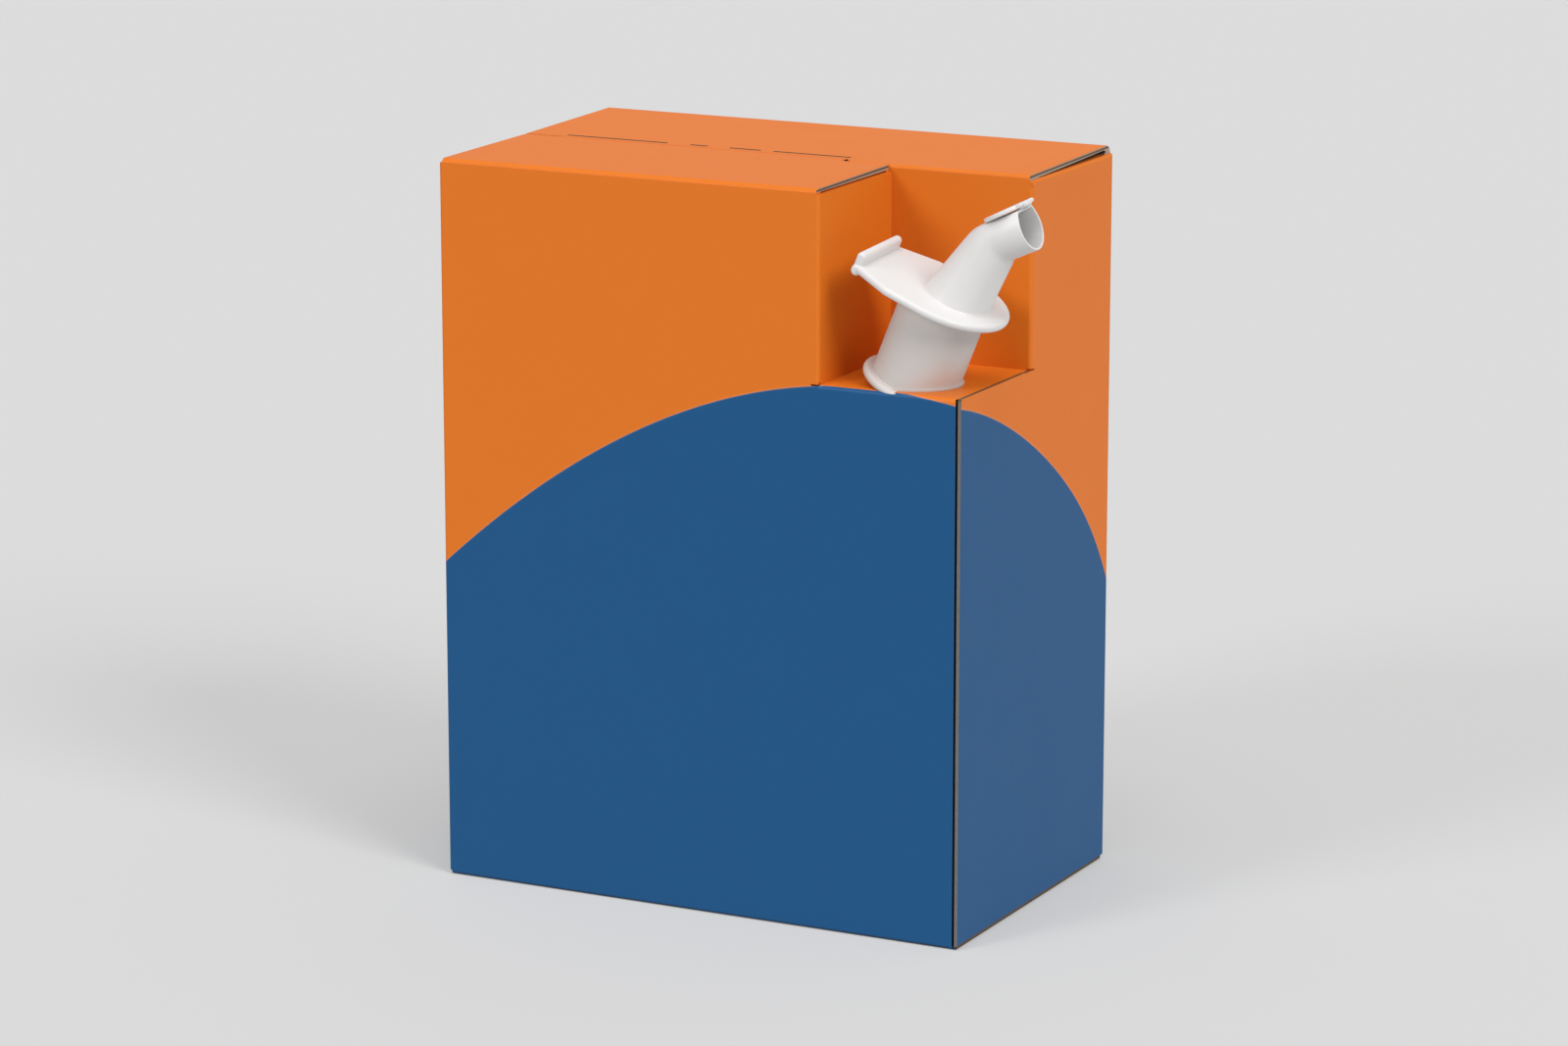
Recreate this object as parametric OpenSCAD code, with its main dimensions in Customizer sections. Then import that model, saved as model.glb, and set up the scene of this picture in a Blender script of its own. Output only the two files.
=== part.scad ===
// Box of cat litter: folded corrugated carton with a corner recess and a white moulded pour spout.
// Millimetres. Origin: middle of the carton's footprint, on the ground. X right, Y back, Z up.

/* [Carton] */
// Outside width of the carton, left panel to right panel
carton_width = 247.5; // [235:0.5:265]
// Outside depth of the carton, front panel to rear panel
carton_depth = 152.5; // [145:0.5:165]
// Height of the upright panels between their bottom and top folds
panel_height = 314; // [300:1:330]
// Thickness of the corrugated board
board = 1.8; // [1.4:0.1:2.2]
// Radius of the upright folds
fold_radius = 1.6; // [1:0.1:2]
// How far the outer flaps stop short of the side panels
flap_inset = 1.5; // [1:0.1:2.5]
// Rise of the front outer flap from its fold to the seam
front_rise = 0.7; // [0.4:0.1:1]
// Rise of the rear outer flap from the seam to its fold
rear_rise = 1.6; // [1:0.1:2]

/* [Corner recess] */
// Width of the recess in the front right corner
recess_width = 65.6; // [63:0.2:72]
// Depth of the recess from the front panel
recess_depth = 68.4; // [66:0.2:74]
// Height of the recess below the top folds
recess_height = 79.6; // [76:0.2:86]

/* [Spout] */
// Outside diameter of the lower tube
tube_diameter = 36.8; // [35.6:0.2:37.2]
// Wall of the lower tube
tube_wall = 1.8; // [1.4:0.1:2]
// Length of the lower tube above the recess floor, along its axis
tube_length = 39.4; // [36:0.2:44]
// Lean of the tube from upright, to the right
spout_tilt = 22.7; // [20:0.1:24]
// Lean of the tube towards the front
spout_roll = 4.5; // [3:0.5:6]
// Turn of the spout about the upright
spout_yaw = 4.2; // [2:0.2:6]
// Turn of the upper part on the tube's axis
spout_swivel = -2.5; // [-5:0.5:5]
// Diameter of the foot bead
bead_diameter = 44.6; // [43:0.2:44.8]
// Thickness of the foot bead
bead_thickness = 3.8; // [3:0.1:4.2]
// Thickness of the spout's flange plate
plate_thickness = 3.5; // [3:0.1:4]
// Diameter of the round part of the plate
plate_diameter = 54.4; // [52:0.2:56]
// Reach of the plate's tongue from the tube axis
tongue_reach = 35.9; // [34:0.1:38]
// Width of the tongue at its end
tongue_width = 40.8; // [38:0.2:42]
// Width of the tongue where it meets the round part
tongue_root = 53.2; // [52:0.2:54]
// Height of the grip rib's round bar above the plate
grip_height = 5.6; // [5:0.2:6.4]
// Outside diameter of the neck at the plate
neck_diameter = 28.6; // [27.6:0.2:29]
// Wall of the neck
neck_wall = 1; // [0.9:0.1:1.3]
// Outside diameter of the mouth
mouth_diameter = 20.2; // [19.8:0.1:20.6]
// Height of the mouth's flat side above the mouth's centre
mouth_flat = 8; // [7.8:0.1:8.2]

/* [Mouth lid] */
// Thickness of the lid
lid_thickness = 1.8; // [1.5:0.1:2]
// Width of the lid's straight hinge side
lid_width = 13; // [12:0.2:14]
// Diameter of the hinge pin
pin_diameter = 1.2; // [1:0.1:1.3]
// Free play round the hinge pin and between the moving faces
hinge_play = 0.06; // [0.05:0.01:0.08]

/* [Hidden] */
$fn = 96;
fit = 0.05;
wall_top = board + panel_height;
minor_top = wall_top + 0.9;
front_top = wall_top + 2.6;
seam_top = front_top + front_rise;
rear_top = seam_top + rear_rise;
over = panel_height * 1.3;
left = -carton_width / 2;
right = carton_width / 2;
front = -carton_depth / 2;
rear = carton_depth / 2;
rx = right - recess_width;
ry = front + recess_depth;
rz = wall_top - recess_height;
seam_y = front + carton_depth / 2;

// Foot of the spout's axis on the recess floor
foot_x = rx + 32.9;
foot_y = front + 22.7;

tube_r = tube_diameter / 2;
bore_r = tube_r - tube_wall;
bead_r = bead_diameter / 2;
collar_r = tube_r + 1.1;
bead_low = -2.2;
bead_top = bead_low + bead_thickness;
bead_round = bead_thickness / 2;

// Plate levels along the tube axis
plate_low = tube_length;
plate_top = plate_low + plate_thickness;
plate_mid = plate_low + plate_thickness / 2;
plate_r = plate_diameter / 2;
rim_r = plate_thickness / 2;
tongue_half = tongue_width / 2;

// Neck: a tapering lower part, a round elbow and a straight mouth part
neck_x = 4.5;
neck_r = neck_diameter / 2;
throat_r = 10.6;
elbow_x = 10.8;
elbow_z = plate_top + 31.1;
elbow_r = 10.4;
mouth_r = mouth_diameter / 2;
mouth_angle = 43;
mouth_reach = 17;
cut_angle = 45.8;
lid_angle = 41;
neck_lean = atan((elbow_x - neck_x) / (elbow_z - plate_top));
neck_run = sqrt(pow(elbow_x - neck_x, 2) + pow(elbow_z - plate_top, 2));

// Hinge of the lid: beside the flat side of the mouth, just ahead of its rim
knuckle_r = pin_diameter / 2 + hinge_play + 0.65;
lid_face = knuckle_r;
lid_gap = 0.9;
hinge_v = mouth_flat + lid_thickness - lid_face + lid_gap;
hinge_s = lid_face + 0.08;
ear_gap = 0.15;
knuckle_half = 2.4;
ear_thick = 1.2;

module carton() {
    color([0.86, 0.46, 0.16])
    difference() {
        union() {
            wall_block();
            bottom_flaps();
            front_flap();
            rear_flap();
        }
        corner_recess();
        joint_gap();
        seam_slits();
        flap_gaps();
        relief_slots();
        bottom_seam();
        spout_pocket();
    }
}

// Upright panels, with rounded upright folds and rounded side folds at top and bottom
module wall_block() {
    r = fold_radius;
    intersection() {
        translate([left, front, board])
        cube([carton_width, carton_depth, minor_top - board]);
        union() {
            for (x = [left + r, right - r])
                translate([x, rear - r, 0])
                cylinder(r = r, h = over);
            translate([left + r, front + r, 0])
            cylinder(r = r, h = over);
            translate([left + r, front, 0])
            cube([carton_width - 2 * r, carton_depth, over]);
            translate([left, front + r, 0])
            cube([carton_width, carton_depth - 2 * r, over]);
            translate([right - r, front, 0])
            cube([r, carton_depth - r, over]);
        }
        side_fold_profile();
    }
}

// Section across the width: rounded folds along both sides at top and bottom
module side_fold_profile() {
    r = 1.2;
    translate([0, rear + 1, 0])
    rotate([90, 0, 0])
    linear_extrude(height = carton_depth + 2)
    union() {
        for (x = [left + r, right - r])
            for (z = [board + r, minor_top - r])
                translate([x, z])
                circle(r = r);
        translate([left + r, board])
        square([carton_width - 2 * r, minor_top - board]);
        translate([left, board + r])
        square([carton_width, minor_top - board - 2 * r]);
    }
}

// Front and rear bottom flaps, folded under the side ones
module bottom_flaps() {
    r = board;
    translate([left + flap_inset, 0, 0])
    rotate([90, 0, 90])
    linear_extrude(height = carton_width - 2 * flap_inset)
    union() {
        for (y = [front + r, rear - r])
            translate([y, r])
            circle(r = r);
        translate([front + r, 0])
        square([carton_depth - 2 * r, r]);
        translate([front, r])
        square([carton_depth, 3]);
    }
}

// Front top flap, folded back from the front panel with a rounded fold and rising to the seam
module front_flap() {
    r = front_top - wall_top;
    back = seam_y + 0.4;
    low = wall_top - 3;
    intersection() {
        translate([left + flap_inset, 0, 0])
        rotate([90, 0, 90])
        linear_extrude(height = carton_width - recess_width - 2 * flap_inset)
        union() {
            translate([front + r, wall_top])
            circle(r = r);
            polygon([[front + r, low], [back, low], [back, seam_top], [front + r, front_top]]);
            translate([front, low])
            square([r, 3]);
        }
        translate([0, 0, wall_top - 5])
        linear_extrude(height = 20)
        union() {
            translate([left, front])
            square([carton_width, ry - front + 0.6]);
            translate([left, front])
            square([carton_width - recess_width - 22, ry - front + 4]);
            translate([left + 20, front])
            square([carton_width - recess_width - 42, back - front]);
        }
    }
}

// Rear top flap, folded forward from the rear panel; its front edge is stepped and rounded
module rear_flap() {
    r = rear_top - wall_top;
    edge = 1.6;
    low = wall_top - 3;
    intersection() {
        translate([left + flap_inset, 0, 0])
        rotate([90, 0, 90])
        linear_extrude(height = carton_width - 2 * flap_inset)
        union() {
            translate([rear - r, wall_top])
            circle(r = r);
            translate([ry + edge, seam_top - edge])
            circle(r = edge);
            polygon([[ry + edge, low], [rear - r, low], [rear - r, rear_top], [ry + edge, seam_top]]);
            translate([ry, low])
            square([edge + 1, seam_top - edge - low]);
            translate([rear - r - 1, low])
            square([r + 1, 3]);
        }
        translate([0, 0, wall_top - 5])
        linear_extrude(height = 20)
        union() {
            translate([rx - 22, ry])
            square([carton_width, carton_depth]);
            translate([left, ry + 4.2])
            square([carton_width, carton_depth]);
            translate([left, seam_y + 0.6])
            square([carton_width, carton_depth]);
        }
    }
}

// Free space of the recess; its upright folds and floor fold are rounded
module corner_recess() {
    r = fold_radius;
    translate([rx, front - 5, rz])
    cube([recess_width + 5, recess_depth + 5, 100]);
    // round the fold between the front panel and the left wall
    translate([rx - r, front - 1, rz])
    difference() {
        cube([r + 1, r + 1, wall_top - rz + 0.4]);
        translate([0, r + 1, -1])
        cylinder(r = r, h = 200);
    }
    // round the fold between the back wall and the right panel
    translate([right - r, ry - 1, rz])
    difference() {
        cube([r + 1, r + 1, wall_top - rz - 1]);
        translate([0, r + 1, -1])
        cylinder(r = r, h = 200);
    }
    // round the fold between the front panel and the recess floor
    translate([rx - 0.5, front - 1, rz - board])
    difference() {
        cube([recess_width - 2.4, board + 1, board + 1]);
        translate([-1, board + 1, 0])
        rotate([0, 90, 0])
        cylinder(r = board, h = 200);
    }
    // step where the floor stops inside the right panel
    translate([right - board - 0.3, front + 3, rz - 0.7])
    cube([0.35, recess_depth - 5, 2]);
}

// Gap of the glued joint at the front right corner, in front of the right panel's raw edge
module joint_gap() {
    translate([right - board - 0.7, front - 1, board - 1])
    cube([0.7, 2.6, rz - board + 1.01]);
    // the front panel's right end is a fold
    r = 1;
    translate([right - board - 0.7 - r, front - 1, board - 1])
    difference() {
        cube([r + 0.1, r + 1, rz - board + 1.01]);
        translate([0, r + 1, -1])
        cylinder(r = r, h = 400);
    }
}

// Open stretches of the seam between the two outer top flaps
module seam_slits() {
    for (s = [[20.3, 69.8], [81.1, 89.7], [100.3, 115.3], [121.5, 158.6]])
        translate([left + s[0], seam_y - 0.2, front_top - 1.6])
        cube([s[1] - s[0], 0.8, 6]);
    translate([left + flap_inset - 1, ry + 4, front_top - 1.6])
    cube([20 - flap_inset + 0.8, 0.7, 6]);
    translate([rx - 22, ry - 0.1, front_top - 1.6])
    cube([20.5, 0.7, 6]);
    // small three-cornered opening at the right end of the seam
    translate([rx - 22.6, ry + 0.2, front_top - 2])
    linear_extrude(height = 8)
    polygon([[-0.6, 3.6], [2.2, 0], [-0.6, 0]]);
}

// Shadow gaps under the raw ends of the outer top flaps
module flap_gaps() {
    // under the front flap's end, above the recess's left wall
    translate([rx - flap_inset - 1.6, front + 4, wall_top + 0.1])
    cube([5, recess_depth - 6, 0.9]);
    // the top fold of the recess's left wall
    translate([rx - flap_inset, front - 1, wall_top])
    cube([5, recess_depth + 1, 1]);
    // hollow under the rear flap's lifted right end
    base = minor_top + 0.05;
    roof = rear_top - board;
    translate([right - flap_inset - 8, 0, 0])
    rotate([90, 0, 90])
    linear_extrude(height = 20)
    polygon([[ry + 9, base], [rear - 6.4, base], [rear - 4.6, roof - 0.9], [rear - 7, roof], [ry + 9, base + 0.25]]);
}

// Small die-cut reliefs at the ends of the recess's folds
module relief_slots() {
    translate([rx - 3.8, front - 1, rz - 0.6])
    cube([3.8, 3, 0.8]);
    translate([right - 2, ry - 5.8, rz - 0.3])
    cube([3, 9.4, 0.8]);
}

// Seam between the two outer bottom flaps
module bottom_seam() {
    translate([left - 1, 0.8, -1])
    cube([carton_width + 2, 0.8, 2.4]);
}

// Hole in the recess floor that holds the foot of the spout, with the packed litter below it
module spout_pocket() {
    intersection() {
        spout_frame()
        union() {
            translate([0, 0, bead_low - 1])
            cylinder(r = tube_r + fit, h = 30);
            translate([0, 0, bead_low - fit])
            cylinder(r = bead_r + fit, h = bead_thickness + 2 * fit);
        }
        translate([-200, -200, 0])
        cube([400, 400, rz + 0.01]);
    }
}

// Frame of the leaning spout: its origin is where the tube's axis meets the recess floor
module spout_frame() {
    translate([foot_x, foot_y, rz])
    rotate([0, 0, spout_yaw])
    rotate([0, spout_tilt, 0])
    rotate([spout_roll, 0, 0])
    children();
}

// White lower tube with its foot bead and the lip that rests on the recess floor
module gland() {
    color([0.93, 0.92, 0.91])
    difference() {
        union() {
            spout_frame()
            union() {
                translate([0, 0, bead_low])
                cylinder(r = tube_r, h = tube_length - bead_low - fit);
                foot_bead();
            }
            // collar lying on the floor's edge
            intersection() {
                spout_frame()
                translate([0, 0, -15])
                cylinder(r = collar_r, h = 30);
                translate([foot_x - 3, front, rz + fit])
                cube([60, 60, 0.9]);
            }
        }
        spout_frame()
        translate([0, 0, -20])
        cylinder(r = bore_r, h = 80);
    }
}

// Rounded ring at the foot of the tube
module foot_bead() {
    translate([0, 0, bead_low + bead_round])
    rotate_extrude()
    union() {
        translate([bead_r - bead_round, 0])
        circle(r = bead_round);
        translate([tube_r - 1, -bead_round])
        square([bead_r - bead_round - tube_r + 1, bead_thickness]);
    }
}

// White upper part: flange plate with grip, bent neck and D-shaped mouth
module pour_spout() {
    color([0.96, 0.96, 0.95])
    spout_frame()
    rotate([0, 0, spout_swivel])
    union() {
        difference() {
            union() {
                flange_plate();
                grip_rib();
                plug_ring();
            }
            translate([neck_x, 0, plate_low - 1])
            cylinder(r = throat_r, h = plate_thickness + 2);
        }
        difference() {
            union() {
                neck_outside();
                hinge_ears();
            }
            neck_inside();
        }
    }
}

// Flange plate: round at the right, with a tongue whose straight sides narrow to the left
module flange_plate() {
    c = plate_r - rim_r;
    e = tongue_reach - rim_r;
    w = tongue_half - 0.6;
    // the sides run from the tongue's root to a tangent of the round part
    root_x = -20;
    root_y = tongue_root / 2;
    reach = sqrt(root_x * root_x + root_y * root_y);
    side = atan2(root_y, root_x) - acos((plate_r - 0.3) / reach);
    tx = (plate_r - 0.3) * cos(side);
    ty = (plate_r - 0.3) * sin(side);
    // round part with its rounded rim
    translate([0, 0, plate_mid])
    rotate_extrude()
    union() {
        translate([c, 0])
        circle(r = rim_r);
        translate([0, -rim_r])
        square([c, plate_thickness]);
    }
    // tongue
    translate([0, 0, plate_low])
    linear_extrude(height = plate_thickness)
    polygon([[-e, -w], [root_x, -root_y], [tx, -ty], [-14, -15], [-14, 15], [tx, ty], [root_x, root_y], [-e, w]]);
}

// Grip rib across the tongue's end: a round bar above the plate and a thicker edge below it
module grip_rib() {
    x = 0.8 - tongue_reach;
    bar = 2.1;
    w = tongue_half - 1.4;
    translate([x, -w, plate_top + grip_height - bar])
    rotate([-90, 0, 0])
    cylinder(r = bar, h = 2 * w);
    for (m = [-1, 1])
        translate([x, m * w, plate_top + grip_height - bar])
        sphere(r = bar);
    translate([x - bar + 0.1, -w, plate_low + 0.7])
    cube([2 * bar - 0.2, 2 * w, grip_height - bar + plate_thickness - 0.7]);
    translate([x, -w, plate_low + 0.7])
    rotate([-90, 0, 0])
    cylinder(r = 2.2, h = 2 * w);
    for (m = [-1, 1])
        translate([x, m * w, plate_low + 0.7])
        sphere(r = 2.2);
}

// Ring under the plate that plugs into the lower tube
module plug_ring() {
    translate([0, 0, plate_low - 7])
    difference() {
        cylinder(r = bore_r - fit, h = 7.5);
        translate([0, 0, -1])
        cylinder(r = bore_r - fit - 1.2, h = 8);
    }
}

// Frame of the mouth part: origin in the elbow, Z along the mouth's axis, -X towards the flat side
module mouth_frame() {
    translate([elbow_x, 0, elbow_z])
    rotate([0, mouth_angle, 0])
    children();
}

// Half space behind the oblique end of the mouth
module mouth_end(offset_out) {
    mouth_frame()
    translate([0, 0, mouth_reach + offset_out])
    rotate([0, cut_angle - mouth_angle, 0])
    translate([-60, -60, -200])
    cube([120, 120, 200]);
}

// Tapering part of the neck, made smaller by the given wall
module neck_cone(wall) {
    ext = 4;
    slope = (neck_r - elbow_r) / neck_run;
    translate([neck_x, 0, plate_top])
    rotate([0, neck_lean, 0])
    translate([0, 0, -ext])
    cylinder(r1 = neck_r + slope * ext - wall, r2 = elbow_r - wall, h = neck_run + ext);
}

module neck_outside() {
    intersection() {
        union() {
            neck_cone(0);
            translate([elbow_x, 0, elbow_z])
            sphere(r = elbow_r);
            mouth_frame()
            cylinder(r = mouth_r, h = 40);
        }
        mouth_end(0);
        mouth_frame()
        translate([-mouth_flat, -50, -100])
        cube([150, 100, 200]);
        translate([-60, -60, plate_top - 0.4])
        cube([120, 120, 120]);
    }
}

module neck_inside() {
    w = neck_wall;
    intersection() {
        union() {
            neck_cone(w);
            translate([elbow_x, 0, elbow_z])
            sphere(r = elbow_r - w);
            mouth_frame()
            cylinder(r = mouth_r - w, h = 45);
        }
        mouth_frame()
        translate([-mouth_flat + w, -50, -100])
        cube([150, 100, 200]);
    }
}

// Frame of the lid's hinge: origin on the pin's axis, Z away from the neck along the mouth's end
// normal; -X points away from the mouth
module hinge_frame() {
    mouth_frame()
    translate([-hinge_v, 0, mouth_reach + hinge_v * tan(cut_angle - mouth_angle)])
    rotate([0, cut_angle - mouth_angle, 0])
    translate([0, 0, hinge_s])
    children();
}

// Two small ears and the pin between them, on the flat side of the mouth
module hinge_ears() {
    for (m = [-1, 1])
        hinge_frame()
        translate([0, m * (knuckle_half + ear_gap + ear_thick / 2), 0])
        rotate([90, 0, 0])
        translate([0, 0, -ear_thick / 2])
        linear_extrude(height = ear_thick)
        union() {
            circle(r = 1.15);
            polygon([[-1.05, 0.4], [-0.95, -0.8], [1.1, -2.7], [1.9, -4.2], [2.6, -4.2], [2.6, -2], [1.05, -0.5]]);
        }
    hinge_frame()
    rotate([90, 0, 0])
    translate([0, 0, -knuckle_half - ear_gap - 0.5])
    cylinder(r = pin_diameter / 2, h = 2 * (knuckle_half + ear_gap + 0.5));
}

// Lid of the mouth, folded back open over the neck; its hinge axis is the pin
module mouth_lid() {
    color([0.96, 0.96, 0.95])
    spout_frame()
    rotate([0, 0, spout_swivel])
    hinge_frame()
    rotate([0, lid_angle - cut_angle, 0])
    difference() {
        union() {
            // flat D-shaped leaf
            translate([-lid_face, 0, 0])
            rotate([0, 90, 0])
            linear_extrude(height = lid_thickness)
            intersection() {
                union() {
                    translate([hinge_v / cos(cut_angle - mouth_angle), 0])
                    circle(r = mouth_r);
                    translate([0, -lid_width / 2])
                    square([hinge_v, lid_width]);
                }
                translate([0, -50])
                square([100, 100]);
            }
            // rounded hinge side
            translate([lid_thickness / 2 - lid_face, 0, 0])
            rotate([90, 0, 0])
            translate([0, 0, -lid_width / 2])
            cylinder(r = lid_thickness / 2, h = lid_width);
            rotate([90, 0, 0])
            translate([0, 0, -knuckle_half])
            cylinder(r = knuckle_r, h = 2 * knuckle_half);
        }
        // room for the ears
        for (m = [-1, 1])
            translate([-2 * knuckle_r, m * (knuckle_half + ear_gap + ear_thick / 2) - ear_thick / 2 - ear_gap, -2.3 * knuckle_r])
            cube([4 * knuckle_r, ear_thick + 2 * ear_gap, 3.8 * knuckle_r]);
        // bore for the pin
        rotate([90, 0, 0])
        translate([0, 0, -knuckle_half - 0.1])
        cylinder(r = pin_diameter / 2 + hinge_play, h = 2 * knuckle_half + 0.2);
    }
}

carton();
gland();
pour_spout();
mouth_lid();
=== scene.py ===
"""Looks of the box of cat litter: printed corrugated carton with a white pour spout in its corner recess.

Metres. The origin is the middle of the carton's footprint on the ground, X to the right, Y to the back.
"""

import math

import bmesh
import bpy
from mathutils import Matrix, Vector


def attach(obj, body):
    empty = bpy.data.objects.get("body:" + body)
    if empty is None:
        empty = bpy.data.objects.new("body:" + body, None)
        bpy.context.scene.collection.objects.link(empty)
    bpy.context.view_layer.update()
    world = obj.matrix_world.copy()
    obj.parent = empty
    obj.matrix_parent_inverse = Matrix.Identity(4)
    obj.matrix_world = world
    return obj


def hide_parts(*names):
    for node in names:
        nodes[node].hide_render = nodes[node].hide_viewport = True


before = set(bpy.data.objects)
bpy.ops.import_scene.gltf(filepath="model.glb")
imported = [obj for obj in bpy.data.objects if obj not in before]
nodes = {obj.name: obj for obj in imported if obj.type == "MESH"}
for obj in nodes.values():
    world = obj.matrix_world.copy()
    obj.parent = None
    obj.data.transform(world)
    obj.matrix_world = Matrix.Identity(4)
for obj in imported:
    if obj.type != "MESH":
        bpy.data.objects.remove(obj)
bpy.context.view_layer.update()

MM = 0.001

# Carton, as in the part's source
LEFT, RIGHT = -123.75 * MM, 123.75 * MM
FRONT, REAR = -76.25 * MM, 76.25 * MM
BOARD = 1.8 * MM
WALL_TOP = 315.8 * MM
FRONT_TOP = 318.4 * MM
SEAM_TOP = 319.1 * MM
REAR_TOP = 320.7 * MM
FLAP_INSET = 1.5 * MM
RECESS_X = 58.15 * MM
RECESS_Y = -7.85 * MM
RECESS_Z = 236.2 * MM
FLAP_LOW = WALL_TOP + 0.95 * MM  # lowest painted level of the top flaps
FLUTE_PITCH = 3.3 * MM
SLIT_FRONT, SLIT_REAR = -0.55 * MM, 1.3 * MM
HOLE_LEFT, HOLE_RIGHT = RECESS_X - 23.4 * MM, RECESS_X - 20.3 * MM
SLITS = ((20.3, 69.8), (81.1, 89.7), (100.3, 115.3), (121.5, 158.6))  # mm from the left, each from and to

# Blue dome of the print
DOME_REACH = 201 * MM  # from its top to the front left corner
DOME_X = LEFT + DOME_REACH
DOME_TOP = 237 * MM
DOME_DROP = 96 * MM
HIDDEN_FALL = 0.02  # slope of its edge round the hidden panels

# Widths over which the edge of a mask fades, and how far inside a face a mask may end
SOFT, FINE = 0.1 * MM, 0.05 * MM
HAIR = 0.1 * MM


def srgb(r, g, b):
    """A colour given as 0 to 255, made linear."""
    out = []
    for value in (r, g, b):
        value /= 255
        out.append(value / 12.92 if value <= 0.04045 else ((value + 0.055) / 1.055) ** 2.4)
    return (*out, 1)


# Colours, linear: the white plastics, the tube's darker and warmer as painted shade and orange bounce
# light, the print, the board's raw edges, and the painted shade in its gaps, slits, hollows and bottom
# folds
TUBE_WHITE_SHADED, SPOUT_WHITE = srgb(203, 197, 193), srgb(217, 215, 214)
ORANGE, ORANGE_DEEP = (0.705, 0.170, 0.013, 1), (0.67, 0.160, 0.011, 1)
BLUE, BLUE_DEEP = (0.008, 0.083, 0.222, 1), (0.007, 0.076, 0.206, 1)
BARE_PAPER = (0.75, 0.62, 0.50, 1)
KRAFT, KRAFT_DULL = (0.46, 0.37, 0.28, 1), (0.30, 0.24, 0.19, 1)
KRAFT_IN_SHADE = (0.12, 0.085, 0.06, 1)
GREY_BOARD, GREY_BOARD_DULL = srgb(124, 122, 118), srgb(92, 90, 88)
GAP_SHADE_BLACK = (0.004, 0.006, 0.010, 1)
OLIVE_EDGE = (0.13, 0.085, 0.045, 1)
FOLD_SHADE_NAVY = (0.010, 0.018, 0.030, 1)
SLIT_EDGE_AND_SHADE = (0.070, 0.052, 0.026, 1)
SLIT_SHADE_BLACK = (0.010, 0.008, 0.005, 1)


class Wire:
    """A number in a material; arithmetic on it adds Math nodes."""

    def __init__(self, finish, socket):
        self.finish = finish
        self.socket = socket

    def maths(self, operation, *others, clamp=False):
        settings = {"operation": operation, "use_clamp": clamp}
        return self.finish.add("ShaderNodeMath", settings, [self, *others])

    def __add__(self, other):
        return self.maths("ADD", other)

    __radd__ = __add__

    def __sub__(self, other):
        return self.maths("SUBTRACT", other)

    def __rsub__(self, other):
        return self.finish.add("ShaderNodeMath", {"operation": "SUBTRACT"}, [other, self])

    def __mul__(self, other):
        return self.maths("MULTIPLY", other)

    __rmul__ = __mul__

    def __truediv__(self, other):
        return self.maths("DIVIDE", other)

    def __pow__(self, other):
        return self.maths("POWER", other)

    def size(self):
        return self.maths("ABSOLUTE")

    def high(self, other):
        return self.maths("MAXIMUM", other)

    def above(self, level, soft):
        """1 where this is more than level, 0 where less, with an edge of the given softness."""
        return ((self - level) / soft).maths("ADD", 0.5, clamp=True)

    def below(self, level, soft):
        """1 where this is less than level."""
        return 1 - self.above(level, soft)

    def between(self, low, high, soft):
        """1 from low to high, 0 outside."""
        return self.above(low, soft) * self.below(high, soft)


class Finish:
    """A material that is built from nodes."""

    def __init__(self, name):
        self.material = bpy.data.materials.new(name)
        self.material.use_nodes = True
        self.tree = self.material.node_tree
        self.tree.nodes.clear()
        self.output = self.tree.nodes.new("ShaderNodeOutputMaterial")
        self.place = self.tree.nodes.new("ShaderNodeTexCoord").outputs["Object"]

    def add(self, kind, settings, values, out=0):
        """Adds a node, sets it up, then fills or links its sockets; returns one output as a Wire."""
        node = self.tree.nodes.new(kind)
        for key, value in settings.items():
            setattr(node, key, value)
        pairs = values.items() if isinstance(values, dict) else enumerate(values)
        for key, value in pairs:
            if isinstance(value, Wire):
                self.tree.links.new(value.socket, node.inputs[key])
            elif isinstance(value, bpy.types.NodeSocket):
                self.tree.links.new(value, node.inputs[key])
            else:
                node.inputs[key].default_value = value
        return Wire(self, node.outputs[out])

    def axes(self):
        """The three coordinates of the point."""
        node = self.tree.nodes.new("ShaderNodeSeparateXYZ")
        self.tree.links.new(self.place, node.inputs[0])
        return [Wire(self, socket) for socket in node.outputs]

    def noise(self, scale, detail=3, rough=0.5):
        values = {"Vector": self.place, "Scale": scale, "Detail": detail, "Roughness": rough}
        return self.add("ShaderNodeTexNoise", {"noise_dimensions": "3D"}, values)

    def mix(self, mask, first, second):
        """The first colour, changed to the second where the mask is 1."""
        settings = {"data_type": "RGBA", "clamp_factor": True}
        return self.add("ShaderNodeMix", settings, {0: mask, 6: first, 7: second}, out=2)

    def bump(self, height, depth, strength, below=None):
        values = {"Height": height, "Distance": depth, "Strength": strength}
        if below is not None:
            values["Normal"] = below
        return self.add("ShaderNodeBump", {}, values)

    def surface(self, **values):
        """Ends the material in one Principled shader with these socket values."""
        names = {key.replace("_", " "): value for key, value in values.items()}
        shader = self.add("ShaderNodeBsdfPrincipled", {}, names)
        self.tree.links.new(shader.socket, self.output.inputs["Surface"])
        return self.material


def dome_edge(x, y):
    """Height of the dome's edge: an arch on the front, its fall on the right, nearly level elsewhere."""
    t = (x - DOME_X).size() / DOME_REACH
    front_line = DOME_TOP - DOME_DROP * t**1.9 * (1 - 0.28 * x.above(DOME_X, 1 * MM))
    t = (y - (FRONT - (RIGHT - DOME_X))) / DOME_REACH
    right_line = DOME_TOP + 1.1 * MM - DOME_DROP * t**1.9 - 20 * MM * t**11
    hidden_line = DOME_TOP - DOME_DROP - HIDDEN_FALL * ((x - LEFT) + (y - FRONT))
    on_front = y.below(FRONT + 2.5 * MM, SOFT) * x.below(RIGHT - BOARD, SOFT)
    on_right = x.above(RIGHT - BOARD, SOFT)
    line = hidden_line + on_right * (right_line - hidden_line)
    return line + on_front * (front_line - line)


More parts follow.
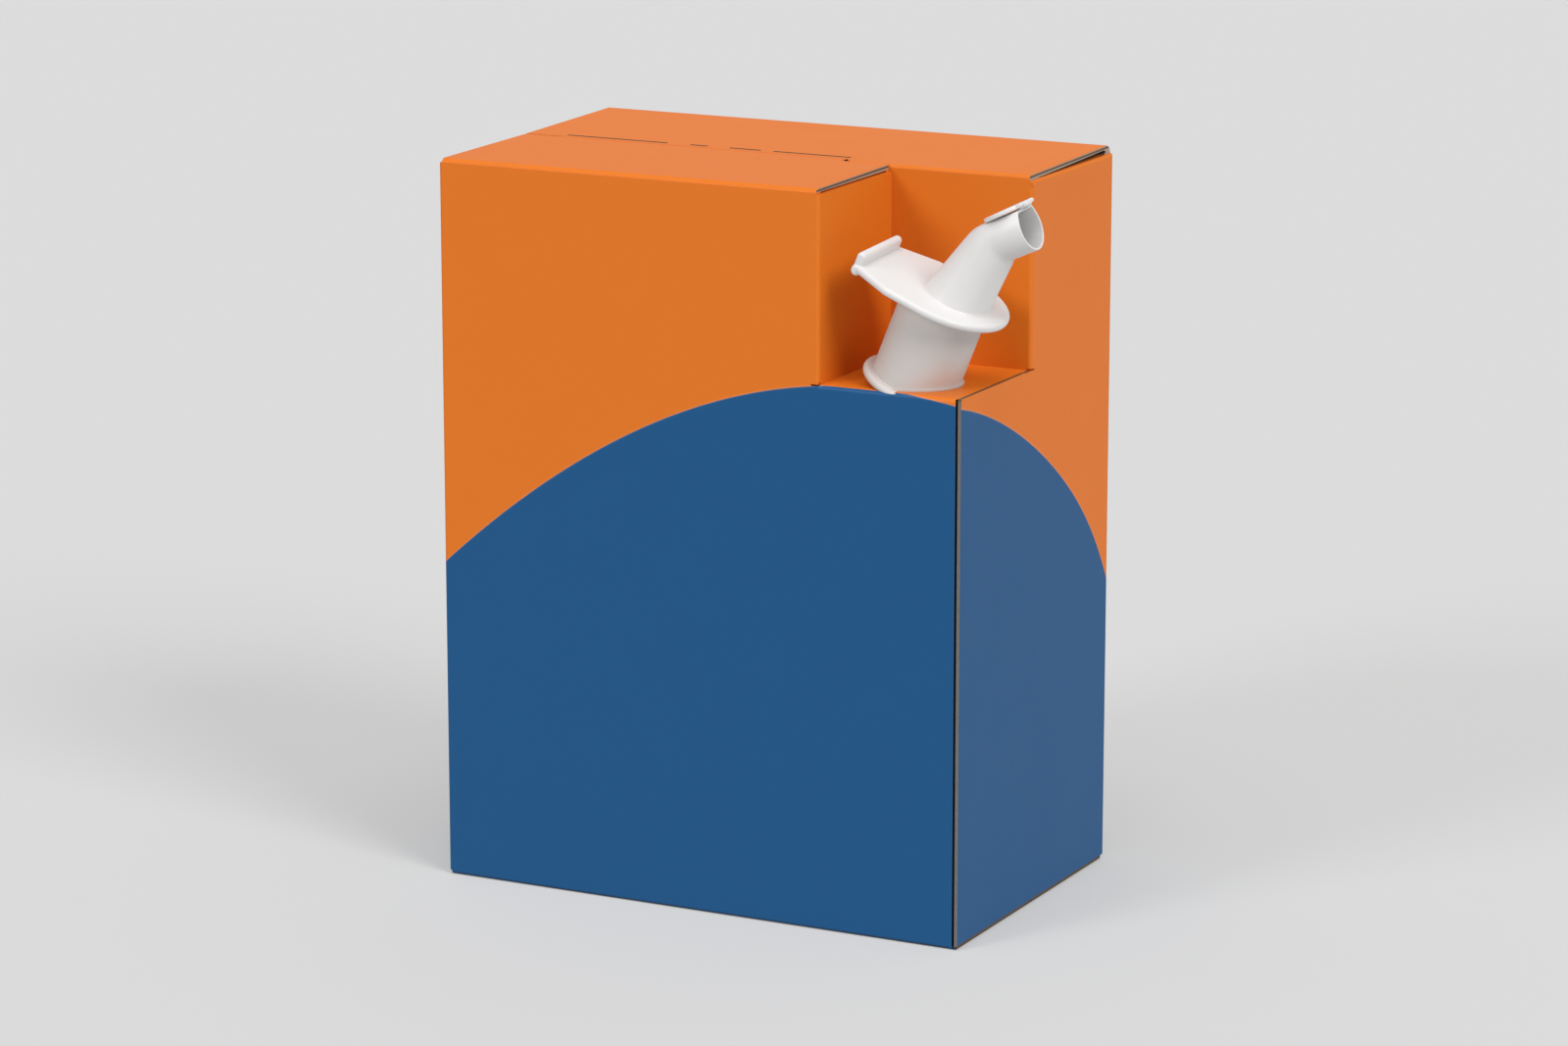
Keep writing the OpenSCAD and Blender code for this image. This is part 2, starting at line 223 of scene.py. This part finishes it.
def rear_level(y):
    """Height of the rear top flap."""
    return SEAM_TOP + (y - RECESS_Y) * ((REAR_TOP - SEAM_TOP) / (REAR - RECESS_Y))


def two_inks(f, x, y, z, mottle):
    """Orange above the blue dome, with a faint paler line where they meet."""
    line = dome_edge(x, y)
    wobble = (f.noise(260, 2) - 0.5) * (0.35 * MM)
    dome = z.below(line + wobble, 0.12 * MM)
    rim = (z - line + wobble).size().below(0.45 * MM, 0.3 * MM)

    # the recess floor stays orange
    in_recess = x.above(RECESS_X - 0.5 * MM, SOFT) * y.below(RECESS_Y, SOFT)
    floor = in_recess * z.above(RECESS_Z - 0.6 * MM, SOFT) * y.above(FRONT + 1.2 * MM, 0.3 * MM)

    orange = f.mix(mottle * 0.35, ORANGE, ORANGE_DEEP)
    blue = f.mix(mottle * 0.4, BLUE, BLUE_DEEP)
    colour = f.mix(dome * (1 - floor), orange, blue)
    return f.mix(rim * 0.08 * (1 - floor), colour, BARE_PAPER)


def raw_edge(f, depth):
    """Two kraft liners with the flute between them painted dark as the shade of its hollows, by the depth
    below the board's upper face.
    """
    light = f.mix(f.noise(700, 3, 0.7), KRAFT, KRAFT_DULL)
    # painted shade: the flute's hollows between the liners are painted dark
    return f.mix(depth.between(0.5 * MM, 1.4 * MM, 0.15 * MM), light, KRAFT_IN_SHADE)


def flap_ends(f, x, y, z, colour):
    """Raw ends of the flaps, and painted shade along the bottom of the side panels and in the space under
    the rear flap; also returns the ends' mask.
    """
    depth = FRONT_TOP + (y - FRONT) * ((SEAM_TOP - FRONT_TOP) / -FRONT) - z
    end = x.between(RECESS_X - FLAP_INSET - HAIR, RECESS_X - HAIR, FINE)
    end = end * y.below(RECESS_Y - 0.2 * MM, SOFT) * z.above(FLAP_LOW, FINE)
    colour = f.mix(end * depth.above(0.15 * MM, 0.08 * MM), colour, raw_edge(f, depth))

    depth = rear_level(y) - z
    side = x.size().above(RIGHT - FLAP_INSET - HAIR, FINE)
    end_side = side * z.above(FLAP_LOW + FINE, FINE) * depth.above(0.15 * MM, 0.08 * MM)
    colour = f.mix(end_side, colour, raw_edge(f, depth))
    # painted shade: dark kraft along the bottom of the side panels, by the ground
    side_bottom_shade = side * z.below(BOARD - FINE, FINE)
    colour = f.mix(side_bottom_shade, colour, KRAFT_IN_SHADE)

    # painted shade: the space under the rear flap's end is painted dark
    inside = x.between(RECESS_X, RIGHT - FLAP_INSET - 0.3 * MM, FINE) * z.above(FLAP_LOW, FINE)
    inside = inside * y.between(RECESS_Y + 6 * MM, REAR - 4.3 * MM, SOFT)
    colour = f.mix(inside * depth.above(BOARD - HAIR, FINE), colour, KRAFT_IN_SHADE)
    return colour, end.high(end_side).high(side_bottom_shade)


def corner_joint(f, x, y, z, colour):
    """Glued joint at the front right corner: the right panel's raw edge beside a gap painted black as its
    shade.
    """
    low_part = z.between(BOARD, RECESS_Z - 0.3 * MM, SOFT)
    post = x.above(RIGHT - BOARD + FINE, FINE) * x.below(RIGHT - 0.25 * MM, SOFT)
    post = post * y.below(FRONT + 0.35 * MM, SOFT) * low_part
    colour = f.mix(post, colour, f.mix(f.noise(900, 3, 0.7), GREY_BOARD, GREY_BOARD_DULL))
    # painted shade: the gap beside the post is painted black
    gap_shade = x.above(RIGHT - BOARD - 1.15 * MM, SOFT) * x.below(RIGHT - BOARD + FINE, FINE)
    gap_shade = gap_shade * y.between(FRONT + 0.14 * MM, FRONT + 2 * MM, SOFT) * low_part
    return f.mix(gap_shade, colour, GAP_SHADE_BLACK), post


def dark_rims(f, x, y, z, colour):
    """The right panel's raw top edge along the recess floor, and painted shade along the bottom folds,
    where they turn under to the ground.
    """
    rim_top = x.between(RIGHT - BOARD - 0.2 * MM, RIGHT - 0.2 * MM, SOFT) * y.below(RECESS_Y, SOFT)
    rim_top = rim_top * z.between(RECESS_Z - 0.9 * MM, RECESS_Z + HAIR, SOFT)
    colour = f.mix(rim_top, colour, OLIVE_EDGE)
    # painted shade: dark navy along the bottom folds of the front and back panels
    fold_shade = z.below(1.0 * MM, 0.9 * MM) * y.size().above(REAR - 2 * MM, SOFT)
    return f.mix(fold_shade * 0.85, colour, FOLD_SHADE_NAVY)


def seam_openings(f, x, y, z, colour):
    """Slits in the top seam and the opening at its right end: a dark band over the slits, partly their
    raw kraft edges and partly painted shade, and painted shade in black where the slits and the opening
    sink below the rear flap.
    """
    in_flap = z.above(FLAP_LOW - FINE, FINE)
    open_part = 0
    for near, far in SLITS:
        open_part = x.between(LEFT + near * MM, LEFT + far * MM, SOFT) + open_part
    slit = y.between(SLIT_FRONT, SLIT_REAR, SOFT) * open_part * in_flap
    hole = x.between(HOLE_LEFT, HOLE_RIGHT, SOFT) * y.between(RECESS_Y + HAIR, RECESS_Y + 4 * MM, SOFT)
    sunk = (rear_level(y) - z).above(0.06 * MM, 0.03 * MM) * in_flap
    # painted shade: a dark band over the slits, partly their raw kraft edges
    colour = f.mix(slit, colour, SLIT_EDGE_AND_SHADE)
    # painted shade: black inside the slits and the opening at the seam's right end
    return f.mix((slit * y.above(0.3 * MM, SOFT)).high(hole) * sunk, colour, SLIT_SHADE_BLACK)


def board_relief(f, x, y):
    """Flutes that show through the liner, gentle waves and paper fibre."""
    flutes = ((x + y) * (2 * math.pi / FLUTE_PITCH)).maths("SINE")
    relief = f.bump(flutes, 0.012 * MM, 0.35)
    relief = f.bump(f.noise(120, 3), 0.05 * MM, 0.25, relief)
    return f.bump(f.noise(900, 2, 0.7), 0.02 * MM, 0.3, relief)


def printed_board():
    """Carton board: orange print above a blue dome, raw kraft edges, painted shade in its gaps, slits,
    hollows and along its bottom folds, faint flutes showing through.
    """
    f = Finish("printed_board")
    x, y, z = f.axes()
    mottle = f.noise(38, 4, 0.6)
    colour = two_inks(f, x, y, z, mottle)
    colour, ends = flap_ends(f, x, y, z, colour)
    colour, post = corner_joint(f, x, y, z, colour)
    colour = dark_rims(f, x, y, z, colour)
    colour = seam_openings(f, x, y, z, colour)
    rough = 0.43 + mottle * 0.06 + post.high(ends) * 0.35
    relief = board_relief(f, x, y)
    return f.surface(Base_Color=colour, Roughness=rough, Specular_IOR_Level=0.2, Normal=relief)


def white_plastic(name, colour, roughness):
    """Moulded white plastic with a satin skin."""
    f = Finish(name)
    cloud = f.noise(60, 3)
    tint = f.mix(cloud, colour, tuple(value * 0.97 for value in colour[:3]) + (1,))
    relief = f.bump(f.noise(1500, 2), 0.01 * MM, 0.25)
    relief = f.bump(f.noise(90, 2), 0.08 * MM, 0.2, relief)
    rough = roughness + cloud * 0.06
    return f.surface(Base_Color=tint, Roughness=rough, Normal=relief)


def coat(obj, material):
    """Gives the piece one material."""
    obj.data.materials.clear()
    obj.data.materials.append(material)


# Spout, as in the part's source
FOOT = (91.05 * MM, -53.55 * MM, RECESS_Z)
LEAN_RIGHT, LEAN_FRONT = 22.7, 4.5
TUBE_TURN, SPOUT_TURN = 4.2, -2.5
PLATE_LOW, PLATE_TOP = 39.4 * MM, 42.9 * MM
PLATE_RADIUS = 27.2 * MM
TONGUE = ((-20, 26.6, 3), (-35.6, 20.3, 2.4))  # mm: x, half width and corner radius at its root and end
THROAT_X, THROAT_RADIUS = 4.5 * MM, 10.6 * MM
PLUG_RADIUS, PLUG_WALL = 16.55 * MM, 1.2 * MM
GRIP_X = -35.1 * MM
MOUTH_TILT = 43
MOUTH_RADIUS, MOUTH_REACH, MOUTH_FLAT = 10.1 * MM, 17 * MM, 8 * MM
NECK_WALL = 0.95 * MM
NECK_LENGTH = 31.73 * MM  # from the bend to the fillet at the plate
NECK_RADIUS, FOOT_RADIUS = 11.05 * MM, 14.15 * MM
ELBOW_TOP, ELBOW_LOW = 4.6 * MM, 6 * MM  # from the bend to where the neck is straight
BEND = math.radians(31.55)  # between the neck's foot and its mouth part
BEND_X, BEND_Z = 10.8, 74  # mm, from the foot
CUT_SLANT = 2.8
HINGE_X, HINGE_Z = -9.322, 18.848  # mm, from the bend
PIN_RADIUS, KNUCKLE_RADIUS = 0.6 * MM, 1.31 * MM
KNUCKLE_WIDTH = 4.8 * MM
EAR_RADIUS, EAR_WIDTH, EAR_Y = 1.12 * MM, 1.2 * MM, 3.15 * MM
LID_TURN = -4.8  # as folded back in the photograph
LID_THICK = 1.8 * MM
LID_X, LID_ROOT = -0.41 * MM, -3.9 * MM

# Bands of the mouth's flat side, mm from the middle, and how much wider each is than the cut circle
WIDENINGS = (
    (-9, -7.9, 1.17),
    (-7.9, -7.4, 1.12),
    (-7.4, -6.9, 1.085),
    (-6.9, -6.4, 1.06),
    (-6.4, -5.9, 1.04),
    (-5.9, -5.3, 1.025),
)
CLOSE = 0.01 * MM  # points nearer than this to a level lie on it


def turned(angle, axis):
    """A turn in degrees about one axis."""
    return Matrix.Rotation(math.radians(angle), 4, axis)


def moved(x, y, z):
    """A shift in millimetres."""
    return Matrix.Translation((x * MM, y * MM, z * MM))


LEANING = turned(TUBE_TURN, "Z") @ turned(LEAN_RIGHT, "Y") @ turned(LEAN_FRONT, "X")
TUBE_FRAME = Matrix.Translation(FOOT) @ LEANING
SPOUT_FRAME = TUBE_FRAME @ turned(SPOUT_TURN, "Z")
MOUTH_FRAME = SPOUT_FRAME @ moved(BEND_X, 0, BEND_Z) @ turned(MOUTH_TILT, "Y")
HINGE_FRAME = MOUTH_FRAME @ moved(HINGE_X, 0, HINGE_Z) @ turned(CUT_SLANT, "Y")
LYING = (math.radians(90), 0, 0)  # turns a cylinder along Y


def start(name, add, **sizes):
    """Adds a primitive as a new object, with its place in its mesh, and opens it in edit mode."""
    bpy.ops.object.select_all(action="DESELECT")
    add(**sizes)
    obj = bpy.context.object
    obj.name = name
    bpy.ops.object.transform_apply(location=True, rotation=True, scale=True)
    bpy.ops.object.mode_set(mode="EDIT")
    return obj


def close(obj, place, soft=34):
    """Leaves edit mode, moves the piece from its own frame to the part's, and shades it smooth."""
    bpy.ops.object.mode_set(mode="OBJECT")
    bpy.ops.object.select_all(action="DESELECT")
    obj.select_set(True)
    bpy.context.view_layer.objects.active = obj
    obj.matrix_world = place
    bpy.ops.object.transform_apply(location=True, rotation=True, scale=True)
    bpy.ops.object.shade_smooth_by_angle(angle=math.radians(soft))
    return obj


def choose(test, kind="VERT"):
    """In edit mode, selects the points or edges for which the test is true, and nothing else."""
    bpy.ops.mesh.select_all(action="DESELECT")
    bpy.ops.mesh.select_mode(type=kind)
    data = bpy.context.object.data
    mesh = bmesh.from_edit_mesh(data)
    for item in mesh.verts if kind == "VERT" else mesh.edges:
        if test(item):
            item.select = True
    mesh.select_flush_mode()
    bmesh.update_edit_mesh(data)


def corner(edge, least=50):
    """True where the two faces of an edge meet at more than the given angle."""
    return len(edge.link_faces) == 2 and math.degrees(edge.calc_face_angle(0)) > least


def hull_of_all():
    """In edit mode, wraps the whole mesh and merges the flat parts of the skin."""
    bpy.ops.mesh.select_all(action="SELECT")
    bpy.ops.mesh.convex_hull()
    bpy.ops.mesh.select_all(action="SELECT")
    bpy.ops.mesh.dissolve_limited(angle_limit=math.radians(0.8))


def apply_modifier(obj, kind, **settings):
    """Adds a modifier with these settings and applies it."""
    bpy.context.view_layer.objects.active = obj
    modifier = obj.modifiers.new("work", kind)
    for key, value in settings.items():
        setattr(modifier, key, value)
    bpy.ops.object.modifier_apply(modifier="work")


def extrude_ring(step, scale, centre):
    """Extrudes the chosen ring by a step and scales its new end about a centre."""
    bpy.ops.mesh.extrude_edges_move(TRANSFORM_OT_translate={"value": step})
    bpy.ops.transform.resize(value=(scale, scale, scale), center_override=centre)


def bent_neck():
    """Neck: a mouth part with one flat side, an elbow, and a foot that widens to a round base."""
    circle = bpy.ops.mesh.primitive_circle_add
    ring_top = MOUTH_REACH + 4 * MM
    obj = start("neck", circle, vertices=96, radius=MOUTH_RADIUS, location=(0, 0, ring_top))
    bpy.ops.mesh.extrude_edges_move(TRANSFORM_OT_translate={"value": (0, 0, ELBOW_TOP - ring_top)})
    choose(lambda v: v.co.x < -MOUTH_FLAT)
    bpy.ops.transform.resize(value=(0, 1, 1), center_override=(-MOUTH_FLAT, 0, 0))
    for first, last, wider in WIDENINGS:
        choose(lambda v: first * MM < v.co.x <= last * MM)
        bpy.ops.transform.resize(value=(1, wider, 1), center_override=(0, 0, 0))

    # foot: a ring below the elbow and one at the plate, bridged straight
    down = Vector((math.sin(BEND), 0, -math.cos(BEND)))
    tilt = math.radians(-MOUTH_TILT)
    upright = Vector((math.sin(tilt), 0, math.cos(tilt)))
    base = down * NECK_LENGTH + upright * 1.1 * MM
    circle(vertices=96, radius=NECK_RADIUS, location=down * ELBOW_LOW, rotation=(0, -BEND, 0))
    circle(vertices=96, radius=FOOT_RADIUS, location=base, rotation=(0, tilt, 0))
    choose(lambda v: v.co.dot(down) > ELBOW_LOW - CLOSE and v.co.z < ELBOW_TOP - 0.6 * MM)
    bpy.ops.mesh.bridge_edge_loops()

    # elbow, bridged in a smooth curve from the D shape to the round one
    choose(lambda v: abs(v.co.z - ELBOW_TOP) < CLOSE or abs(v.co.dot(down) - ELBOW_LOW) < CLOSE)
    bpy.ops.mesh.bridge_edge_loops(number_cuts=12, interpolation="SURFACE", smoothness=1.0)

    # small fillet where the foot meets the plate
    level = base.dot(upright)
    choose(lambda v: abs(v.co.dot(upright) - level) < CLOSE and v.co.dot(down) > 20 * MM)
    for drop, scale in ((0.5, 1.012), (0.35, 1.02), (0.25, 1.028), (0.6, 1.0)):
        base = base - upright * drop * MM
        extrude_ring(-upright * drop * MM, scale, base)

    # the mouth's end is cut at a slant, the wall gets its thickness and the rim its small rounding
    bpy.ops.mesh.select_all(action="SELECT")
    slant = math.radians(CUT_SLANT)
    normal = Vector((math.sin(slant), 0, math.cos(slant)))
    bpy.ops.mesh.bisect(plane_co=(0, 0, MOUTH_REACH), plane_no=normal, clear_outer=True)
    bpy.ops.mesh.select_all(action="SELECT")
    bpy.ops.mesh.remove_doubles(threshold=0.001 * MM)
    bpy.ops.mesh.normals_make_consistent(inside=False)
    bpy.ops.object.mode_set(mode="OBJECT")
    apply_modifier(obj, "SOLIDIFY", thickness=NECK_WALL, offset=-1, use_even_offset=True)
    bpy.ops.object.mode_set(mode="EDIT")
    end = MOUTH_REACH * normal.z

    def rim(edge):
        on_end = all(abs(v.co.dot(normal) - end) < 0.06 * MM for v in edge.verts)
        return on_end and corner(edge)

    choose(rim, "EDGE")
    bpy.ops.mesh.bevel(offset=0.28 * MM, segments=3, affect="EDGES")
    return close(obj, MOUTH_FRAME, 62)


def flange():
    """Flange plate: round at the right, with a tongue to the left, all round rounded."""
    cylinder = bpy.ops.mesh.primitive_cylinder_add
    level = (PLATE_LOW + PLATE_TOP) / 2
    size = {"depth": PLATE_TOP - PLATE_LOW}
    obj = start("plate", cylinder, vertices=128, radius=PLATE_RADIUS, location=(0, 0, level), **size)
    for x, y, radius in TONGUE:
        for side in (-1, 1):
            place = ((x + radius) * MM, side * (y - radius) * MM, level)
            cylinder(vertices=32, radius=radius * MM, location=place, **size)
    hull_of_all()
    choose(corner, "EDGE")
    bpy.ops.mesh.bevel(offset=1.6 * MM, segments=5, affect="EDGES")
    bpy.ops.object.mode_set(mode="OBJECT")
    bpy.ops.object.select_all(action="DESELECT")
    cylinder(vertices=64, radius=THROAT_RADIUS, depth=20 * MM, location=(THROAT_X, 0, level))
    throat = bpy.context.object
    apply_modifier(obj, "BOOLEAN", object=throat, operation="DIFFERENCE", solver="EXACT")
    bpy.data.objects.remove(throat)
    return close(obj, SPOUT_FRAME)


def grip():
    """Grip rib on the tongue's end: an upright rib with a round top, and a thicker edge below."""
    cylinder = bpy.ops.mesh.primitive_cylinder_add
    shapes = []
    for name, low, high, near, far, radius in (
        ("bar", 41.5, 46.2, 18.6, 17.4, 2.0),
        ("lobe", 40.1, 40.6, 19.6, 19.6, 2.15),
    ):
        size = {"vertices": 32, "radius": radius * MM, "depth": (near + far) * MM, "rotation": LYING}
        y = (far - near) / 2 * MM
        obj = start(name, cylinder, location=(GRIP_X, y, low * MM), **size)
        cylinder(location=(GRIP_X, y, high * MM), **size)
        hull_of_all()
        choose(corner, "EDGE")
        bpy.ops.mesh.bevel(offset=1.3 * MM, segments=4, affect="EDGES")
        shapes.append(close(obj, SPOUT_FRAME))
    return shapes


def hinge_ears():
    """Two ears on the mouth's flat side and the pin between them."""
    cylinder = bpy.ops.mesh.primitive_cylinder_add
    shapes = []
    for side in (-1, 1):
        size = {"vertices": 32, "depth": EAR_WIDTH, "rotation": LYING}
        y = side * EAR_Y
        obj = start("ear", cylinder, radius=EAR_RADIUS, location=(0, y, 0), **size)
        cylinder(radius=0.3 * MM, location=(1.9 * MM, y, -3.9 * MM), **size)
        cylinder(radius=0.3 * MM, location=(1.9 * MM, y, -2.2 * MM), **size)
        hull_of_all()
        choose(corner, "EDGE")
        bpy.ops.mesh.bevel(offset=0.2 * MM, segments=2, affect="EDGES")
        shapes.append(close(obj, HINGE_FRAME))
    pin = start("pin", cylinder, vertices=32, radius=PIN_RADIUS, depth=6 * MM, rotation=LYING)
    shapes.append(close(pin, HINGE_FRAME))
    return shapes


def plug():
    """Ring under the plate that plugs into the tube."""
    cylinder = bpy.ops.mesh.primitive_cylinder_add
    size = {"radius": PLUG_RADIUS, "depth": 7.4 * MM, "end_fill_type": "NOTHING"}
    obj = start("plug", cylinder, vertices=96, location=(0, 0, PLATE_LOW - 3 * MM), **size)
    bpy.ops.object.mode_set(mode="OBJECT")
    apply_modifier(obj, "SOLIDIFY", thickness=PLUG_WALL, offset=-1)
    return close(obj, SPOUT_FRAME)


def as_one(parts, name):
    """Joins the shapes of one moulding."""
    bpy.ops.object.select_all(action="DESELECT")
    for part in parts:
        part.select_set(True)
    bpy.context.view_layer.objects.active = parts[0]
    bpy.ops.object.join()
    parts[0].name = name
    return parts[0]


def pour_spout():
    """The moulded spout: neck, flange plate, plug ring, grip and hinge ears."""
    parts = [bent_neck(), flange(), plug(), *grip(), *hinge_ears()]
    return as_one(parts, "spout_moulding")


def mouth_lid():
    """Lid: a rounded leaf with three tabs at its hinge; the middle one has the knuckle on the pin."""
    cylinder = bpy.ops.mesh.primitive_cylinder_add
    frame_of_lid = HINGE_FRAME @ turned(LID_TURN, "Y")
    flat = (0, math.radians(90), 0)
    parts = []

    def finished(obj, width):
        choose(corner, "EDGE")
        bpy.ops.mesh.bevel(offset=width, segments=4, affect="EDGES")
        parts.append(close(obj, frame_of_lid))

    size = {"radius": MOUTH_RADIUS, "depth": LID_THICK, "rotation": flat}
    obj = start("leaf", cylinder, vertices=96, location=(LID_X, 0, -9.4 * MM), **size)
    size = {"vertices": 24, "radius": LID_THICK / 2, "rotation": LYING}
    cylinder(depth=13 * MM, location=(LID_X, 0, LID_ROOT), **size)
    hull_of_all()
    finished(obj, 0.55 * MM)
    for y, width in ((-5.2, 2.6), (0, 4.8), (5.2, 2.6)):
        size["depth"] = width * MM
        obj = start("tab", cylinder, location=(LID_X, y * MM, 0), **size)
        cylinder(location=(LID_X, y * MM, LID_ROOT), **size)
        hull_of_all()
        finished(obj, 0.3 * MM)
    size = {"radius": KNUCKLE_RADIUS, "depth": KNUCKLE_WIDTH, "rotation": LYING}
    obj = start("knuckle", cylinder, vertices=48, **size)
    finished(obj, 0.2 * MM)
    return as_one(parts, "lid_leaf")


coat(nodes["carton"], printed_board())
# painted shade: the tube's white is darker and warmer than the spout's, standing in for shade under the
# plate and light from the orange board
coat(nodes["gland"], white_plastic("tube_white_shaded", TUBE_WHITE_SHADED, 0.42))
spout_finish = white_plastic("spout_white", SPOUT_WHITE, 0.36)

spout = pour_spout()
coat(spout, spout_finish)
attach(spout, "pack")
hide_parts("pour_spout")

lid = mouth_lid()
coat(lid, spout_finish)
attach(lid, "lid")
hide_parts("mouth_lid")


# Camera of the photograph, as fitted to the carton's edges
CAMERA_PLACE = (1.00627, -1.96618, 0.66622)
CAMERA_TARGET = (-0.00614, 0.01794, 0.15144)
CAMERA_LENS = 119.3
CAMERA_SENSOR = 36

# Light and ground
FLOOR_SIZE = 14
FLOOR_GREY = (0.36, 0.36, 0.36, 1)
WHITE = (1, 1, 1, 1)
WORLD_IN_FRONT, WORLD_BEHIND = 0.20, 0.50


def studio():
    """Pale glowing floor, three soft lamps and the photograph's camera."""
    bpy.ops.mesh.primitive_plane_add(size=1)
    sweep = bpy.context.object
    sweep.name = "sweep"
    sweep.scale = (FLOOR_SIZE, FLOOR_SIZE, 1)
    bpy.ops.object.transform_apply(location=True, rotation=True, scale=True)
    f = Finish("sweep_paper")
    glow = {"Emission_Color": WHITE, "Emission_Strength": 0.27}
    coat(sweep, f.surface(Base_Color=FLOOR_GREY, Roughness=0.9, Specular_IOR_Level=0.1, **glow))

    # the world is bright behind the object and darker in front of it
    world = bpy.data.worlds.new("studio")
    bpy.context.scene.world = world
    world.use_nodes = True
    tree = world.node_tree
    place = tree.nodes.new("ShaderNodeTexCoord")
    parts = tree.nodes.new("ShaderNodeSeparateXYZ")
    spread = tree.nodes.new("ShaderNodeMapRange")
    span = {"From Min": -0.8, "From Max": 0.6, "To Min": WORLD_IN_FRONT, "To Max": WORLD_BEHIND}
    for key, value in span.items():
        spread.inputs[key].default_value = value
    background = tree.nodes["Background"]
    background.inputs["Color"].default_value = WHITE
    tree.links.new(place.outputs["Generated"], parts.inputs[0])
    tree.links.new(parts.outputs["Y"], spread.inputs["Value"])
    tree.links.new(spread.outputs["Result"], background.inputs["Strength"])

    def sun(name, place, spread_deg, strength):
        data = bpy.data.lights.new(name, "SUN")
        data.angle = math.radians(spread_deg)
        data.energy = strength
        obj = bpy.data.objects.new(name, data)
        bpy.context.collection.objects.link(obj)
        obj.rotation_euler = (-Vector(place)).to_track_quat("-Z", "Y").to_euler()

    sun("key", (-0.5, -1.0, 0.62), 18, 1.08)
    sun("fill", (1.2, -0.5, 0.95), 25, 1.7)
    sun("top", (0.1, -0.3, 1.0), 40, 1.25)

    data = bpy.data.cameras.new("camera")
    data.sensor_fit = "HORIZONTAL"
    data.sensor_width = CAMERA_SENSOR
    data.lens = CAMERA_LENS
    camera = bpy.data.objects.new("camera", data)
    bpy.context.collection.objects.link(camera)
    camera.location = CAMERA_PLACE
    aim = Vector(CAMERA_TARGET) - camera.location
    camera.rotation_euler = aim.to_track_quat("-Z", "Y").to_euler()
    bpy.context.scene.camera = camera
    bpy.context.scene.view_settings.view_transform = "Standard"


studio()
